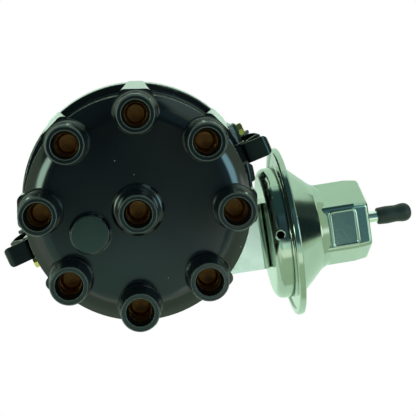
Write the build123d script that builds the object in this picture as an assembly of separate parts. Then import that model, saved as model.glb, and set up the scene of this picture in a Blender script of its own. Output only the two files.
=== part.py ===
from build123d import *
import os
from math import cos, hypot, radians, sin

# Ignition distributor for an eight-cylinder engine, in millimetres and degrees.
# The origin is on the shaft's axis, at the seat where the housing stands on the engine.
# +Z runs up the shaft to the cap, and +X is the way the vacuum unit points.

# ---- Driving dimensions ----

# Running and seating gaps
run_gap = 0.04              # radial, between a shaft and its bush or a pin and its eye
seat_gap = 0.02             # between pieces that are pressed or moulded together
free_gap = 0.3              # between pieces that pass each other without touching
overlap = 0.5               # how far features of one piece are sunk into each other
beyond = 300.0              # longer than the whole distributor, for bores that go right through

# Housing: shank, seat, neck and bowl
shank_radius = 15.85
shank_length = 46.0
seat_radius = 21.0
seat_height = 7.0
neck_radius = 17.5
neck_top = 20.0
bowl_bottom = 36.0          # underside of the bowl's floor
bowl_floor = 4.0
bowl_radius = 46.3
bowl_wall = 3.5
bowl_top = 78.0

# Shank seal
seal_height = -13.0
seal_section = 1.3
seal_groove = 13.2

# Drive shaft and bushes
shaft_radius = 5.95
spindle_radius = 4.7        # the upper part, which carries the advance sleeve
spindle_top = 86.0
bush_radius = 8.4
bush_length = 20.0
collar_radius = 10.5
collar_length = 12.0
collar_foot = 2.0           # how far the collar runs on below the shaft's end
tang_length = 7.0
tang_width = 4.6
washer_thickness = 0.8
washer_width = 2.0          # how far it reaches out past its bush
roll_pin_radius = 1.6
roll_pin_wall = 0.6

# Centrifugal advance
weight_plate_thickness = 2.0
weight_plate_radius = 27.0
weight_thickness = 6.0
weight_inner = 10.5
weight_outer = 24.5
weight_pivot = 17.0         # from the shaft's axis
weight_pivot_pin = 1.9
drive_pin_radius = 1.5
drive_pin_reach = 15.5      # from the shaft's axis
drive_pin_angle = 70.0
drive_pin_proud = 2.6       # above the cam plate
cam_thickness = 1.7
cam_radius = 11.0
cam_arm_reach = 23.5
cam_arm_width = 9.0
cam_slot_travel = 5.2
sleeve_radius = 6.5
sleeve_top = 82.0
spring_radius = 1.2
spring_wire = 0.2           # radius of the wire
spring_post_radius = 1.3
spring_post_reach = 20.0
spring_post_angle = 142.0
spring_post_proud = 3.4     # above the cam plate
spring_height = 1.7         # of the springs' axes above the cam plate

# Pick-up plates
fixed_plate_bottom = 56.5
plate_thickness = 1.5
fixed_plate_radius = 41.5
moving_plate_radius = 34.4
plate_hub_radius = 17.0     # the ring that the moving plate turns on
plate_hub_bore = 15.0
plate_hub_lip = 0.6
plate_hub_lip_width = 3.0
plate_hub_proud = 0.4
plate_boss_reach = 37.8
plate_boss_radius = 4.2
plate_boss_angles = (60.0, 180.0, 300.0)
plate_screw_radius = 1.9
plate_screw_length = 7.0

# Reluctor and pick-up
tooth_count = 8
reluctor_bottom = 66.0
reluctor_height = 7.0
reluctor_root = 8.8
reluctor_radius = 11.8
tooth_width = 2.4
air_gap = 0.3
pickup_angle = 100.0
coil_radius = 4.6
coil_length = 7.5
coil_start = 14.0
coil_cheek = 0.9            # thickness of the bobbin's cheeks
coil_winding_drop = 0.7     # from the cheeks' edge down to the winding
pole_thickness = 3.0
pole_width = 4.0
magnet_start = 23.0
magnet_depth = 7.0
magnet_width = 17.0
pickup_lug = 8.0            # how far the bracket runs past the magnet, for its screw
pickup_bracket_thickness = 1.2

# Rotor
rotor_bottom = 76.5
rotor_hub_radius = 10.5
rotor_waist = 8.0
rotor_headroom = 19.0       # from the top of its arm up to the cap's ceiling
rotor_arm_thickness = 4.0
rotor_arm_width = 13.0
rotor_arm_end = 26.0        # how far out the moulding carries the blade
rotor_tail_end = 18.0
rotor_tail_width = 19.0
rotor_reach = 30.3
blade_thickness = 1.2
blade_width = 6.4
blade_tip_width = 10.4
blade_neck = 20.0           # where the blade starts to widen
finger_thickness = 0.5
finger_width = 3.6
finger_rise = 1.6
finger_foot = 13.0
finger_tip = 3.5            # how far it reaches past the shaft's axis

# Cap
tower_count = 8
tower_first_angle = -7.6
tower_ring = 36.0
cap_height = 55.0
deck_drop = 13.8            # from the tower tops down to the flat deck
deck_radius = 38.0          # where the deck would meet the slope of the shoulder
deck_rounding = 12.0
shoulder_drop = 17.6
shoulder_radius = 43.0
wall_foot_radius = 43.6
rim_top_radius = 47.3
rim_radius = 47.9
rim_height = 6.0
cap_bore = 40.0
cap_bore_draft = 0.8
cap_roof = 4.2
ceiling_radius = 33.0
spigot_depth = 2.5
spigot_wall = 2.6
tower_top_radius = 7.2
tower_foot_radius = 7.8
tower_collar_radius = 8.15
tower_collar_height = 2.3
tower_flare_radius = 9.8    # of the middle tower, where it grows out of the deck
buttress_top_depth = 9.0    # half of each outer tower's slanting foot, along the radius, under the deck's level
buttress_top_side = 6.6     # half of its width there
buttress_top_drop = 1.2
buttress_foot_depth = 3.2   # the same at the rim
buttress_foot_side = 3.7
buttress_foot_reach = 45.0
buttress_rounding = 0.42    # of its corners, as a share of its half width
socket_radius = 4.25
socket_depth = 11.5
socket_mouth = 6.2
socket_throat = 5.35         # radius where the mouth's bevel ends and its funnel begins
socket_bevel = 0.8           # how far the bevel goes down
socket_funnel = 4.5          # how far down the funnel ends
terminal_radius = 4.85
terminal_depth = 6.4
terminal_stem = 2.25
terminal_wall = 0.9
terminal_ring = 2.4         # radius of the raised ring in its floor
terminal_ring_height = 0.7
electrode_depth = 5.5
electrode_width = 4.8
electrode_inner = 31.1      # face that the rotor's blade sweeps past
pad_radius = 7.35
pad_foot = 0.9              # how much wider the pad is at its foot
pad_reach = 19.8
pad_angle = 197.5
pad_drop = 9.0              # from the tower tops down to the pad's face
ledge_reach = 49.0
ledge_width = 9.0
ledge_bottom = 80.0
ledge_top = 88.2
brush_radius = 2.2
brush_recess = 8.1          # from the cap's ceiling down to the brush's top
brush_boss_drop = 11.0
brush_boss_wall = 3.2
coil_stem_drop = 1.5
brush_wire = 0.2            # radius of its spring's wire

# Spring clips that hold the cap
clip_width = 8.1
clip_thickness = 0.9
clip_pivot_reach = 52.0
clip_pivot_height = 58.0
clip_pin_radius = 1.1
clip_bulge = 57.0
clip_tab_reach = 56.7
clip_tab_rounding = 2.4      # of the tab's two outer corners
clip_tab_height = 93.8
clip_pad_reach = 47.9
clip_pad_low = 50.0
clip_pad_high = 76.0
clip_pad_side = 5.2         # how far the pad runs past the clip's middle on its plain side
clip_plate_thickness = 1.3
clip_plate_side = 11.5      # how far the plate runs past the clip's middle on its screw side
clip_ear = 1.1
clip_screw_offset = 8.2
clip_screw_height = 70.0
clip_screw_radius = 1.6
clip_screw_length = 5.0

# Vacuum unit, on an axis along +X
vacuum_y = -26.2
vacuum_z = 64.0
shell_thickness = 0.8
drum_start = 51.6           # the flat rear wall
drum_radius = 28.3
drum_rounding = 3.4
flange_rear = 59.0          # rear face of the crimped edge
flange_radius = 36.3
crimp_width = 1.1
crimp_lip = 0.6             # thickness of the lip folded over the rear shell
crimp_reach = 1.6           # how far the lip runs in over it
diaphragm_thickness = 0.6
cone_radius = 29.2          # where the front cone leaves the flange
nose_start = 73.5
nose_corner = 18.2          # half of the hexagonal nose across its corners
nose_edge_rounding = 2.5    # of the six long edges
nose_end = 94.6
nose_taper = 0.9            # how much narrower the nose is at its end
nose_taper_length = 6.1
nose_rounding = 1.7
vent_radius = 2.0
vent_place = 54.8
vent_angle = 7.0            # from the top, towards +Y
nipple_radius = 2.4
nipple_bore = 1.4
nipple_end = 107.5
nipple_flare = 1.6
dust_cap_start = 100.9
dust_cap_end = 115.9
dust_cap_mouth = 3.6
dust_cap_radius = 3.85
dust_cap_bulb = 3.98
link_thickness = 1.6
link_width = 7.0            # of its eye
link_bar_width = 3.8
link_pin_radius = 1.6
link_pin_foot = 3.0
link_pin_place = -2.5       # along X, at rest
link_window = 3.0           # the hole in the drum's rear wall that the link works through
piston_radius = 13.0
piston_proud = 0.6          # how far its plates stand out of the diaphragm
piston_rivet = 4.5
return_spring_radius = 8.5
return_spring_wire = 0.6    # radius of the wire

# Vacuum unit's bracket
bracket_start = 24.0
bracket_thickness = 2.0
bracket_top = 69.0
bracket_half_width = 14.1
bracket_leg_bottom = 46.0
bracket_bend = 3.0          # outside radius of the bend
lug_depth = 11.0
vacuum_screws = ((32.7, -37.3), (46.4, -16.6))
vacuum_screw_radius = 1.5
vacuum_screw_length = 9.0

# Lead grommet
grommet_angle = 3.2
grommet_width = 7.6
grommet_reach = 49.4
grommet_bottom = 63.0
grommet_lip = 2.5           # how far its inner flange stands into the bowl
notch_width = 6.8
lead_hole = 1.3
lead_spacing = 5.0

# Hexagonal screw heads: across the flats, how high, and the washer under them
small_hex = 5.0
small_hex_height = 2.6
hex_washer = 0.5

# ---- Sizes that follow from them ----

floor_top = bowl_bottom + bowl_floor
bowl_inner = bowl_radius - bowl_wall
upper_bush_bottom = floor_top - bush_length
collar_top = -shank_length - washer_thickness
collar_bottom = collar_top - collar_length
collar_middle = (collar_top + collar_bottom) / 2
weight_plate_bottom = floor_top + washer_thickness
weight_plate_top = weight_plate_bottom + weight_plate_thickness
weight_bottom = weight_plate_top + free_gap
weight_top = weight_bottom + weight_thickness
cam_bottom = weight_top + 2 * free_gap
cam_top = cam_bottom + cam_thickness
shaft_step = cam_bottom - seat_gap      # the shoulder that the advance sleeve rests on
fixed_plate_top = fixed_plate_bottom + plate_thickness
moving_plate_bottom = fixed_plate_top + plate_hub_lip
moving_plate_top = moving_plate_bottom + plate_thickness
reluctor_middle = reluctor_bottom + reluctor_height / 2
pole_start = reluctor_radius + air_gap
pole_bottom = reluctor_middle - pole_thickness / 2
pickup_bracket_top = moving_plate_top + seat_gap + pickup_bracket_thickness
magnet_end = magnet_start + magnet_depth
pickup_screw_reach = magnet_start + magnet_depth / 2
pickup_screw_offset = magnet_width / 2 + pickup_lug / 2
cap_top = bowl_top + cap_height
rim_top = bowl_top + rim_height
deck_z = cap_top - deck_drop
shoulder_z = cap_top - shoulder_drop
ceiling_z = deck_z - cap_roof
socket_floor = cap_top - socket_depth
terminal_floor = socket_floor - terminal_depth
rotor_arm_top = ceiling_z - rotor_headroom
rotor_arm_bottom = rotor_arm_top - rotor_arm_thickness
blade_bottom = rotor_arm_top + seat_gap
blade_top = blade_bottom + blade_thickness
finger_low = blade_top + seat_gap + finger_thickness / 2       # middle of the contact finger's sheet
brush_bottom = finger_low + finger_rise + finger_thickness / 2 + seat_gap
brush_top = ceiling_z - brush_recess
brush_hole_top = ceiling_z - coil_stem_drop
electrode_bottom = rotor_arm_top - 1
electrode_top = electrode_bottom + electrode_depth
tower_angles = [tower_first_angle + i * 360 / tower_count for i in range(tower_count)]
clip_angle = tower_first_angle + 180 / tower_count             # half-way between two towers
clip_angles = (clip_angle, clip_angle + 180)
clip_face = clip_pad_reach + seat_gap
clip_screw_face = clip_face + clip_plate_thickness + seat_gap
flange_start = flange_rear + crimp_lip + seat_gap
front_start = flange_start + shell_thickness + diaphragm_thickness
front_face = front_start + shell_thickness
diaphragm_clamp = flange_radius - crimp_width - seat_gap
diaphragm_low = flange_start + shell_thickness + seat_gap
diaphragm_high = front_start - seat_gap
piston_face = front_start + piston_proud
link_low = vacuum_z - link_thickness / 2
link_high = vacuum_z + link_thickness / 2
link_hole = hypot(link_bar_width / 2, link_thickness / 2) + seat_gap      # the piston's bore round the link
lug_top = bracket_top - bracket_thickness
lug_reach = drum_start - seat_gap - bracket_bend
vacuum_frame = Plane(origin=(0, vacuum_y, vacuum_z), x_dir=(0, 1, 0), z_dir=(1, 0, 0))

UPWARD = (Align.CENTER, Align.CENTER, Align.MIN)


# ---- Ways of making a solid ----

def rod(radius, low, high, x=0, y=0):
    """An upright cylinder between two heights."""
    return Pos(x, y, low) * Cylinder(radius, high - low, align=UPWARD)


def drill(radius, x=0, y=0):
    """An upright bore that goes right through whatever it is taken from."""
    return rod(radius, -beyond, beyond, x, y)


def tube(outer, inner, low, high, x=0, y=0):
    """An upright cylinder with a bore right through it."""
    return rod(outer, low, high, x, y) - drill(inner, x, y)


def across(radius, length, height):
    """A cylinder that lies along Y, with its middle over the origin."""
    return Pos(0, 0, height) * (Rot(90, 0, 0) * Cylinder(radius, length))


def outward(radius, start, length, y, height):
    """A cylinder that runs out along X from where it starts."""
    return Pos(start, y, height) * (Rot(0, 90, 0) * Cylinder(radius, length, align=UPWARD))


def block(low, high):
    """A box between its lowest and its highest corner."""
    size = [b - a for a, b in zip(low, high)]
    return Pos(*low) * Box(*size, align=(Align.MIN,) * 3)


def outline(*corners):
    """A face from its corners in order, each (x, y) or (x, y, rounding radius)."""
    places = [corner[:2] for corner in corners]
    rounding = [corner[2] if len(corner) > 2 else 0 for corner in corners]
    return make_face(FilletPolyline(*places, radius=rounding, close=True))


def turned(*corners):
    """A solid of revolution about Z, from corners (radius, height) or (radius, height, rounding)."""
    return revolve(Plane.XZ * outline(*corners), Axis.Z)


def slab(face, low, high):
    """A flat face drawn on XY, made into a plate between two heights."""
    return Pos(0, 0, low) * extrude(face, high - low)


def strap(corners, thickness, width):
    """Sheet bent along corners (x, z, bend radius) in the XZ plane, and centred across Y."""
    route = FilletPolyline(*[c[:2] for c in corners], radius=[c[2] for c in corners[1:-1]])
    return extrude(Plane.XZ * trace(route, thickness), width / 2, both=True)


def group(solids):
    """Several separate solids of one kind, kept as one piece."""
    return Compound(children=list(solids))


def around(solid, angles):
    """Copies of a solid turned about the shaft's axis."""
    return [Rot(0, 0, angle) * solid for angle in angles]


def polar(reach, angle):
    """The x and y of a point at a reach and an angle from the shaft's axis."""
    return reach * cos(radians(angle)), reach * sin(radians(angle))


def hex_screw(radius, length):
    """A screw standing on z = 0: its shank runs down, and its washer-faced hexagonal head up."""
    half = small_hex / 2
    head = slab(RegularPolygon(half, 6, major_radius=False), hex_washer, small_hex_height)
    head = head & turned(
        (0, 0), (1.24 * half, 0), (1.24 * half, 0.77 * small_hex_height), (half, small_hex_height),
        (0, small_hex_height))
    washer = rod(1.16 * half, 0, hex_washer)
    return head + washer + rod(radius, -length, hex_washer / 2)


def coil_spring(start, end, radius, wire, turns):
    """A helical spring between two points, with open ends."""
    start, end = Vector(*start), Vector(*end)
    length = (end - start).length
    path = Helix(pitch=length / turns, height=length, radius=radius)
    section = Plane(origin=path @ 0, z_dir=path % 0) * Circle(wire)
    return Plane(origin=start, z_dir=(end - start)) * sweep(section, path)


# ---- Housing and shaft ----

def housing():
    """The cast housing: shank, seat, neck and open bowl, with pads for what is screwed to it."""
    body = housing_form() + vacuum_lug()
    pad = block(
        (bowl_radius - 2.5, -clip_pad_side, clip_pad_low),
        (clip_pad_reach, clip_plate_side + free_gap, clip_pad_high))
    for clip_pad in around(pad, clip_angles):
        body += clip_pad
    body -= rod(bowl_inner, floor_top + 2, bowl_top + 1)
    for angle in plate_boss_angles:
        x, y = polar(plate_boss_reach, angle)
        body += rod(plate_boss_radius, floor_top - overlap, fixed_plate_bottom, x, y)
        body -= rod(plate_screw_radius + seat_gap, fixed_plate_bottom - plate_screw_length, bowl_top, x, y)
    screw_hole = outward(
        clip_screw_radius + seat_gap, clip_screw_face - clip_screw_length - overlap, 2 * clip_screw_length,
        clip_screw_offset, clip_screw_height)
    for hole in around(screw_hole, clip_angles):
        body -= hole
    link_side = link_width / 2 + 2
    link_channel = block(
        (bowl_inner - 12, vacuum_y - link_side, vacuum_z - 3.5),
        (lug_reach + 1, vacuum_y + link_side, lug_top + overlap))
    notch = Rot(0, 0, grommet_angle) * block(
        (bowl_inner - 4, -notch_width / 2, grommet_bottom),
        (bowl_radius + 4, notch_width / 2, bowl_top + 1))
    return body - link_channel - notch


def housing_form():
    """The turned form of the housing."""
    groove_half = seal_section * 1.15
    edge = 1.0
    return turned(
        (bush_radius, -shank_length), (shank_radius - edge, -shank_length),
        (shank_radius, edge - shank_length),
        (shank_radius, seal_height - groove_half), (seal_groove, seal_height - groove_half),
        (seal_groove, seal_height + groove_half), (shank_radius, seal_height + groove_half),
        (shank_radius, 0), (seat_radius, 0), (seat_radius, seat_height, 1.5),
        (neck_radius, seat_height, 2), (neck_radius, neck_top, 14),
        (bowl_radius - bowl_floor, bowl_bottom, 6), (bowl_radius, bowl_bottom + bowl_floor + 1, 4),
        (bowl_radius, bowl_top), (bowl_inner, bowl_top), (bowl_inner, floor_top, 2),
        (bush_radius, floor_top))


def vacuum_lug():
    """The lug beside the bowl that the vacuum unit's bracket is screwed to."""
    low, high = vacuum_y - bracket_half_width, vacuum_y + bracket_half_width
    inside = neck_radius
    lug = slab(
        outline((inside, low, 2), (lug_reach, low, 8), (lug_reach, high, 3), (inside, high, 2)),
        lug_top - lug_depth, lug_top)
    for x, y in vacuum_screws:
        lug -= rod(vacuum_screw_radius + seat_gap, bracket_top - vacuum_screw_length - overlap,
            bracket_top, x, y)
    return lug


def bush(bottom):
    """A plain bronze bush, pressed into the housing's bore."""
    return tube(bush_radius - seat_gap, shaft_radius + run_gap, bottom, bottom + bush_length)


def shank_seal():
    """The rubber ring in the shank's groove, flush with the shank as it is in its hole."""
    return Pos(0, 0, seal_height) * Torus(seal_groove + seat_gap + seal_section, seal_section)


def drive_shaft():
    """The shaft, with a narrower spindle above the centrifugal advance."""
    edge = 0.6
    shaft = turned(
        (0, collar_bottom), (shaft_radius, collar_bottom), (shaft_radius, shaft_step),
        (spindle_radius, shaft_step), (spindle_radius, spindle_top - edge),
        (spindle_radius - edge, spindle_top),
        (0, spindle_top))
    return shaft - roll_pin_hole()


def roll_pin_hole():
    """The cross hole that the drive collar and the shaft share."""
    return across(roll_pin_radius + seat_gap, 3 * collar_radius, collar_middle)


def drive_collar():
    """The collar pinned to the shaft's foot, with the tang that the engine's drive turns."""
    edge = 1.0
    foot = collar_bottom - collar_foot
    bore = shaft_radius + seat_gap
    collar = turned(
        (0, foot), (collar_radius - edge, foot), (collar_radius, foot + edge),
        (collar_radius, collar_top - edge),
        (collar_radius - edge, collar_top), (bore, collar_top), (bore, collar_bottom), (0, collar_bottom))
    tang = block(
        (-collar_radius, -tang_width / 2, foot - tang_length),
        (collar_radius, tang_width / 2, foot + overlap))
    return collar + (tang & drill(collar_radius - edge / 2)) - roll_pin_hole()


def roll_pin():
    """The slit spring pin through the drive collar."""
    length = 2 * collar_radius - 1
    pin = Cylinder(roll_pin_radius, length) - Cylinder(roll_pin_radius - roll_pin_wall, 2 * length)
    pin -= Pos(roll_pin_radius, 0, 0) * Box(2 * roll_pin_radius, roll_pin_wall, 2 * length)
    return Pos(0, 0, collar_middle) * (Rot(90, 0, 0) * pin)


def thrust_washer(bottom):
    """A washer that the shaft runs against at one end of the housing."""
    return tube(
        bush_radius + washer_width, shaft_radius + run_gap, bottom + seat_gap,
        bottom + washer_thickness - seat_gap)


# ---- Centrifugal advance ----

def weight_plate():
    """The plate pressed onto the shaft, with the weights' pivots and the springs' posts standing on it."""
    face = Circle(weight_plate_radius) & Rectangle(3 * weight_plate_radius, 1.8 * weight_plate_radius)
    plate = slab(face, weight_plate_bottom, weight_plate_top) - drill(shaft_radius + seat_gap)
    for turn in (0, 180):
        x, y = polar(weight_pivot, turn)
        plate += rod(weight_pivot_pin, weight_plate_top - overlap, weight_top + free_gap, x, y)
        x, y = polar(spring_post_reach, spring_post_angle + turn)
        plate += rod(spring_post_radius, weight_plate_top - overlap, cam_top + spring_post_proud, x, y)
    return plate


def flyweight():
    """One of the two weights that swing out about a pivot, with the pin that drives the cam plate."""
    far = 2.5 * weight_outer
    sector = outline((0, 0), polar(far, -12), polar(far, 54), polar(far, 119))
    face = (Circle(weight_outer) - Circle(weight_inner)) & sector
    face = fillet(face.vertices(), 1.5)
    x, y = polar(drive_pin_reach, drive_pin_angle)
    body = slab(face, weight_bottom, weight_top) - drill(weight_pivot_pin + run_gap, weight_pivot)
    return body + rod(drive_pin_radius, weight_top - overlap, cam_top + drive_pin_proud, x, y)


def advance_sleeve():
    """The sleeve that turns on the spindle, with its cam plate and the slots for the weights' pins."""
    arm = Pos(cam_arm_reach / 2, 0) * RectangleRounded(cam_arm_reach, cam_arm_width, 3)
    slot_half = drive_pin_radius + 2.5 * run_gap
    slot = Pos(drive_pin_reach - slot_half, 0) * Rectangle(
        cam_slot_travel + 2 * slot_half, 2 * slot_half, align=(Align.MIN, Align.CENTER))
    face = Circle(cam_radius)
    for turn in (0, 180):
        face += Rot(0, 0, drive_pin_angle + turn) * arm
    for turn in (0, 180):
        face -= Rot(0, 0, drive_pin_angle + turn) * slot
    sleeve = slab(face, cam_bottom, cam_top) + rod(sleeve_radius, cam_bottom, sleeve_top)
    return sleeve - drill(spindle_radius + run_gap)


def advance_spring(turn):
    """A coil spring that pulls one weight's pin back towards its post."""
    height = cam_top + spring_height
    clear = spring_radius + spring_wire + 0.7
    pin = Vector(*polar(drive_pin_reach, drive_pin_angle), height)
    post = Vector(*polar(spring_post_reach, spring_post_angle), height)
    along = (post - pin).normalized()
    start = pin + along * (drive_pin_radius + clear)
    end = post - along * (spring_post_radius + clear)
    return Rot(0, 0, turn) * coil_spring(start, end, spring_radius, spring_wire, 9)


# ---- Pick-up ----

def plate_window(width, angle):
    """A rounded window in a pick-up plate, half-way out."""
    return slab(Rot(0, 0, angle) * (Pos(0, -27) * SlotOverall(width, 6)), 0, bowl_top)


def fixed_plate():
    """The plate screwed into the bowl, which carries the moving plate."""
    plate = slab(Circle(fixed_plate_radius), fixed_plate_bottom, fixed_plate_top)
    plate -= drill(plate_hub_radius + seat_gap)
    for angle in plate_boss_angles:
        plate -= drill(plate_screw_radius + 0.2, *polar(plate_boss_reach, angle))
    for angle in (120, 240):
        plate -= plate_window(20, angle)
    return plate


def plate_hub():
    """The bronze ring that the moving plate turns on."""
    ring = tube(
        plate_hub_radius, plate_hub_bore, fixed_plate_bottom - plate_hub_proud,
        moving_plate_top + plate_hub_proud)
    lip = tube(
        plate_hub_radius + plate_hub_lip_width, plate_hub_bore, fixed_plate_top + seat_gap,
        fixed_plate_top + plate_hub_lip - seat_gap)
    return ring + lip


def moving_plate():
    """The plate that the vacuum unit turns, with the pin that its link pulls."""
    plate = slab(Circle(moving_plate_radius), moving_plate_bottom, moving_plate_top)
    plate -= drill(plate_hub_radius + run_gap)
    for angle in (60, 270):
        plate -= plate_window(16, angle)
    plate -= Rot(0, 0, pickup_angle) * drill(plate_screw_radius + seat_gap, pickup_screw_reach,
        pickup_screw_offset)
    pin_foot = moving_plate_top - overlap
    plate += rod(link_pin_foot, pin_foot, link_low - free_gap, link_pin_place, vacuum_y)
    return plate + rod(link_pin_radius, pin_foot, link_high + link_pin_radius, link_pin_place, vacuum_y)


def link_clip():
    """The spring clip that keeps the link on its pin."""
    low = link_high + 0.4
    outer = 2 * link_pin_radius
    clip = tube(outer, link_pin_radius + seat_gap, low, low + 0.6, link_pin_place, vacuum_y)
    half_mouth = 0.55 * link_pin_radius
    mouth = block(
        (link_pin_place - half_mouth, vacuum_y, low - 1),
        (link_pin_place + half_mouth, vacuum_y + 2 * outer, low + 2))
    return clip - mouth


def reluctor():
    """The toothed wheel on the sleeve: one tooth for each cylinder."""
    tooth = Pos(reluctor_root - overlap, 0) * Rectangle(
        reluctor_radius - reluctor_root + overlap, tooth_width, align=(Align.MIN, Align.CENTER))
    wheel = Circle(reluctor_root)
    for i in range(tooth_count):
        wheel += Rot(0, 0, pickup_angle + i * 360 / tooth_count) * tooth
    wheel -= Circle(sleeve_radius + seat_gap)
    return slab(wheel, reluctor_bottom, reluctor_bottom + reluctor_height)


def pickup_bracket():
    """The plate that the magnet stands on, with the lug for its holding screw."""
    foot = block(
        (magnet_start - 1, -magnet_width / 2 - 1, moving_plate_top + seat_gap),
        (magnet_end + 1, magnet_width / 2 + pickup_lug, pickup_bracket_top))
    return Rot(0, 0, pickup_angle) * (foot - drill(plate_screw_radius + 0.2, pickup_screw_reach,
        pickup_screw_offset))


def magnet():
    """The permanent magnet under the pole piece."""
    return Rot(0, 0, pickup_angle) * block(
        (magnet_start, -magnet_width / 2, pickup_bracket_top + seat_gap),
        (magnet_end, magnet_width / 2, pole_bottom - seat_gap))


def pole_piece():
    """The iron pole: a wide head on the magnet and a narrow bar through the coil to the teeth."""
    high = pole_bottom + pole_thickness
    head_half = magnet_width / 2 - 2
    head = block((magnet_start, -head_half, pole_bottom), (magnet_end, head_half, high))
    bar = block((pole_start, -pole_width / 2, pole_bottom), (magnet_start + 1, pole_width / 2, high))
    return Rot(0, 0, pickup_angle) * (head + bar)


def pickup_coil():
    """The coil on the pole piece, wound between the two cheeks of its bobbin."""
    end = coil_start + coil_length
    winding = coil_radius - coil_winding_drop
    body = turned(
        (0, coil_start), (coil_radius, coil_start), (coil_radius, coil_start + coil_cheek),
        (winding, coil_start + coil_cheek), (winding, end - coil_cheek), (coil_radius, end - coil_cheek),
        (coil_radius, end), (0, end))
    bore = Box(pole_thickness + 2 * seat_gap, pole_width + 2 * seat_gap, beyond)
    coil = Plane(origin=(0, 0, reluctor_middle), x_dir=(0, 0, -1), z_dir=(1, 0, 0)) * (body - bore)
    return Rot(0, 0, pickup_angle) * coil


# ---- Rotor ----

def rotor():
    """The moulded rotor on the sleeve, with a counterweight tail behind its arm."""
    stem = rotor_arm_bottom - rotor_bottom
    shoulder = rotor_hub_radius + 1
    body = turned(
        (0, rotor_bottom), (rotor_hub_radius, rotor_bottom),
        (rotor_hub_radius, rotor_bottom + 0.45 * stem, 1.5),
        (rotor_waist, rotor_bottom + 0.8 * stem, 3), (shoulder, rotor_arm_bottom, 1),
        (shoulder, rotor_arm_top, 1), (0, rotor_arm_top))
    arm = Rectangle(rotor_arm_end, rotor_arm_width, align=(Align.MIN, Align.CENTER))
    tail = Rectangle(rotor_tail_end, rotor_tail_width, align=(Align.MAX, Align.CENTER))
    face = fillet((arm + tail).vertices(), 3)
    body += slab(face, rotor_arm_bottom, rotor_arm_top)
    body -= rod(sleeve_radius + seat_gap, rotor_bottom - 1, sleeve_top + overlap)
    body -= rod(spindle_radius + overlap, rotor_bottom - 1, spindle_top + overlap)
    return Rot(0, 0, tower_first_angle) * body


def rotor_blade():
    """The brass blade that carries the spark from the middle out to each electrode."""
    half = blade_width / 2
    tip_half = blade_tip_width / 2
    start = -blade_width / 2 - 0.8
    blade = outline(
        (start, -half, 2), (blade_neck, -half, 2), (rotor_arm_end, -tip_half, 2), (rotor_reach, -tip_half),
        (rotor_reach, tip_half), (rotor_arm_end, tip_half, 2), (blade_neck, half, 2), (start, half, 2))
    return Rot(0, 0, tower_first_angle) * slab(blade, blade_bottom, blade_top)


def rotor_contact():
    """The springy finger on the blade that the cap's carbon brush rests on."""
    high = finger_low + finger_rise
    route = [
        (finger_foot, finger_low, 0), (finger_foot - 7, finger_low, 3), (finger_foot - 11, high, 3),
        (-finger_tip, high, 0)]
    return Rot(0, 0, tower_first_angle) * strap(route, finger_thickness, finger_width)


# ---- Cap ----

def cap():
    """The moulded cap: eight towers round one in the middle, on a deck that rounds off to the wall."""
    shell = cap_form()
    for angle in tower_angles:
        shell += Rot(0, 0, angle) * (buttress() + Pos(tower_ring, 0) * tower(buttress_top_depth))
    for ledge in around(clip_ledge(), clip_angles):
        shell += ledge
    shell &= rod(rim_radius + overlap, bowl_top, cap_top)
    for ledge in around(clip_ledge(), clip_angles):
        shell += ledge
    shell -= cap_hollow()
    shell += tower(tower_flare_radius) + deck_pad() + spigot() + brush_boss()
    for angle in tower_angles:
        shell += Pos(*polar(tower_ring, angle)) * terminal_boss()
    shell -= socket() + rod(brush_radius + run_gap, ceiling_z - 2 * brush_boss_drop, brush_hole_top)
    for angle in tower_angles:
        shell -= Pos(*polar(tower_ring, angle)) * socket()
    return shell


def cap_form():
    """The outside of the cap without its towers."""
    return turned(
        (0, bowl_top), (rim_radius, bowl_top), (rim_top_radius, rim_top, 0.8),
        (wall_foot_radius, rim_top, 1.5),
        (shoulder_radius, shoulder_z, 0.3), (deck_radius, deck_z, deck_rounding), (0, deck_z))


def cap_hollow():
    """The space inside the cap."""
    inner = cap_bore - cap_bore_draft
    return turned(
        (0, bowl_top - 1), (cap_bore, bowl_top - 1), (cap_bore, bowl_top), (inner, ceiling_z - 2, 3),
        (ceiling_radius, ceiling_z, 2), (0, ceiling_z))


def tower(flare):
    """A solid tower, from its foot in the deck up to its rounded rim."""
    foot = deck_z - buttress_top_drop
    collar_top = deck_z + tower_collar_height
    return turned(
        (0, foot), (flare, foot), (flare, deck_z - 0.4, 0.2), (tower_collar_radius, deck_z + 0.1, 1.2),
        (tower_collar_radius, collar_top, 0.3), (tower_foot_radius, collar_top + 0.2, 0.2),
        (tower_top_radius, cap_top, 0.7), (0, cap_top))


def buttress():
    """The slanting foot of an outer tower, which runs out into the rim."""
    foot = Pos(buttress_foot_reach, 0, bowl_top) * RectangleRounded(
        2 * buttress_foot_depth, 2 * buttress_foot_side, buttress_rounding * buttress_foot_depth)
    top = Pos(tower_ring, 0, deck_z - buttress_top_drop) * RectangleRounded(
        2 * buttress_top_depth, 2 * buttress_top_side, buttress_rounding * buttress_top_side)
    return loft([foot, top], ruled=True)


def clip_ledge():
    """The lug beside the cap's wall that a clip hooks over."""
    ledge = block((cap_bore, -ledge_width / 2, ledge_bottom), (ledge_reach, ledge_width / 2, ledge_top))
    return fillet(ledge.edges().filter_by(Axis.X).group_by(Axis.Z)[-1], 1.2)


def deck_pad():
    """The round pad on the deck beside the middle tower."""
    face = cap_top - pad_drop
    foot = pad_radius + pad_foot
    return Pos(*polar(pad_reach, pad_angle)) * turned(
        (0, deck_z - overlap), (foot, deck_z - overlap), (foot, deck_z, 0.1),
        (pad_radius, deck_z + 0.1, 0.6),
        (pad_radius, face, 0.7), (0, face))


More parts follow.
